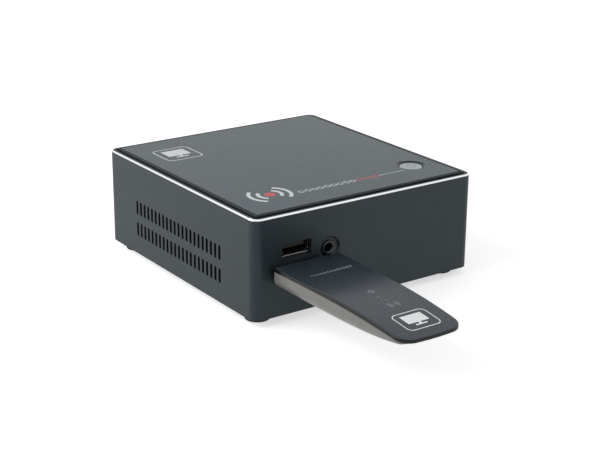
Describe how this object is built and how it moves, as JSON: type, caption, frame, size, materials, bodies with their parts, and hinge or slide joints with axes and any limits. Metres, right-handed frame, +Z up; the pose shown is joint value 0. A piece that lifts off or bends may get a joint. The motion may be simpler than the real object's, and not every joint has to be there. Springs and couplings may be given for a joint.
{
  "type": "network streaming adapter",
  "caption": "Small square presentation streaming box with side vents, a lid power button and a wireless adapter plugged into its lower front port.",
  "frame": {"origin": "centre of the four bracket holes on the underside of the base plate", "axes": "+X to the right along the front, +Y to the back, +Z up; the adapter and the headphone jack point along -Y"},
  "size_m": [0.1126, 0.2006, 0.0466],
  "materials": {
    "case_black": "satin black, with a bright cut top edge",
    "lid_plate_black": "satin black",
    "lid_frame_grey": "fine matte",
    "bezel_black": "gloss",
    "button_silver": "satin silver",
    "base_black": "fine texture",
    "foot_ring_grey": "matte",
    "foot_rubber": "matte",
    "zinc_steel": "zinc plated",
    "brass": "turned",
    "board_green": "solder mask",
    "chip_black": "moulded",
    "sink_aluminium": "milled",
    "fan_black": "moulded",
    "coil_copper": "enamelled winding",
    "lead_black": "smooth",
    "socket_black": "moulded",
    "antenna_copper": "foil",
    "sheet_steel": "pressed",
    "drive_aluminium": "satin",
    "cell_steel": "bright",
    "port_steel": "nickel plated",
    "jack_grey": "satin",
    "panel_black": "satin",
    "plunger_white": "moulded",
    "adapter_gloss": "gloss",
    "adapter_grey": "satin warm grey",
    "light_guide": "clear"
  },
  "bodies": {
    "case": {"shell": "case_black", "lid_frame": "lid_frame_grey", "lid_plate": "lid_plate_black", "button_bezel": "bezel_black", "push_switch": "socket_black", "button_board": "board_green", "button_board_screws": "zinc_steel", "base_plate": "base_black", "foot_rings": "foot_ring_grey", "foot_pads": "foot_rubber", "case_screws": "zinc_steel", "mainboard": "board_green", "standoffs": "brass", "board_screws": "zinc_steel", "processor": "chip_black", "heat_sink": "sink_aluminium", "heat_sink_screws": "zinc_steel", "fan_frame": "fan_black", "fan_coils": "coil_copper", "fan_bearing": "brass", "fan_screws": "zinc_steel", "fan_lead": "lead_black", "memory_socket": "socket_black", "memory_module": "board_green", "card_socket": "socket_black", "wireless_card": "board_green", "card_screw": "zinc_steel", "front_antenna": "antenna_copper", "back_antenna": "antenna_copper", "antenna_leads": "lead_black", "drive_tray": "sheet_steel", "drive": "drive_aluminium", "drive_socket": "socket_black", "drive_screws": "zinc_steel", "cell_holder": "socket_black", "clock_cell": "cell_steel", "front_usb_shell": "port_steel", "front_usb_cores": "socket_black", "audio_jack": "jack_grey", "rear_panel": "panel_black", "rear_panel_screws": "zinc_steel", "rear_usb_shell": "port_steel", "rear_usb_cores": "socket_black", "network_port_shell": "port_steel", "network_port_core": "socket_black", "video_port_shells": "port_steel", "video_port_cores": "socket_black", "power_inlet": "socket_black", "power_inlet_pin": "port_steel"},
    "button": {"button_cap": "button_silver", "switch_plunger": "plunger_white"},
    "fan": {"fan_rotor": "fan_black", "fan_shaft": "zinc_steel"},
    "adapter": {"adapter_cover": "adapter_gloss", "adapter_hull": "adapter_grey", "adapter_plug_shell": "port_steel", "adapter_plug_core": "socket_black", "adapter_board": "board_green", "adapter_shield": "sheet_steel", "adapter_light_guides": "light_guide"}
  },
  "joints": [
    {"name": "button_press", "type": "slide", "parent": "case", "child": "button", "axis": [0, 0, -1], "range_m": [0, 0.0006], "stiffness_N_per_m": 2500, "springref_m": -0.0002},
    {"name": "fan_spin", "type": "hinge", "parent": "case", "child": "fan", "pos_m": [-0.016, 0, 0.0315], "axis": [0, 0, 1], "continuous": true},
    {"name": "adapter_slide", "type": "slide", "parent": "case", "child": "adapter", "axis": [0, -1, 0], "range_m": [0, 0.015]}
  ]
}
